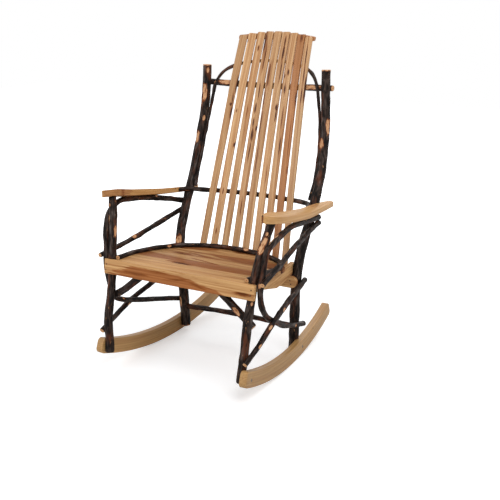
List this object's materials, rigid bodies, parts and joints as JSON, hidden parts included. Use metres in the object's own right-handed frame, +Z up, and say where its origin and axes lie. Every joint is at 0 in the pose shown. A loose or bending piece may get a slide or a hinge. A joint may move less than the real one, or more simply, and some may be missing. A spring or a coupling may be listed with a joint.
{
  "type": "rocking chair",
  "caption": "Rustic armed rocking chair of bent bark-on poles and sawn boards, with a fanned back of thin bent slats and plank rockers",
  "frame": {"origin": "under the middle of the bounding box, on the floor plane that the rockers stand on", "axes": "+Z up, the sitter faces -Y, +X to the right of a person looking at the front"},
  "size_m": [0.6784, 0.821, 1.152],
  "materials": {
    "bark_pole": "dark bark under clear varnish, pale sawn ends and peeled patches",
    "slat_wood": "varnished bent strips of honey-coloured wood, semi-gloss",
    "board_wood": "varnished sawn boards with brown heartwood, semi-gloss",
    "rocker_wood": "varnished sawn plank, worn along the lower edge",
    "steel": "dull countersunk screw heads"
  },
  "bodies": {
    "root": {"arm_left": "board_wood", "arm_right": "board_wood", "back_arch": "bark_pole", "back_bottom_rail": "board_wood", "back_middle_rail": "bark_pole", "back_slat_1": "slat_wood", "back_slat_2": "slat_wood", "back_slat_3": "slat_wood", "back_slat_4": "slat_wood", "back_slat_5": "slat_wood", "back_slat_6": "slat_wood", "back_slat_7": "slat_wood", "back_slat_8": "slat_wood", "back_slat_9": "slat_wood", "back_top_rail": "bark_pole", "crest_rail": "slat_wood", "front_corner_brace_left": "bark_pole", "front_corner_brace_right": "bark_pole", "front_post_left": "bark_pole", "front_post_right": "bark_pole", "lower_side_brace_left": "bark_pole", "lower_side_brace_right": "bark_pole", "rear_post_left": "bark_pole", "rear_post_right": "bark_pole", "rear_stretcher": "bark_pole", "rocker_left": "rocker_wood", "rocker_right": "rocker_wood", "rocker_screws": "steel", "seat_board_1": "board_wood", "seat_board_2": "board_wood", "seat_board_3": "board_wood", "seat_board_4": "board_wood", "seat_board_5": "board_wood", "seat_front_apron": "board_wood", "seat_hoop": "bark_pole", "seat_rear_rail": "board_wood", "seat_side_rail_left": "board_wood", "seat_side_rail_right": "board_wood", "side_hoop_left": "bark_pole", "side_hoop_right": "bark_pole", "upper_side_brace_left": "bark_pole", "upper_side_brace_right": "bark_pole"}
  },
  "joints": []
}
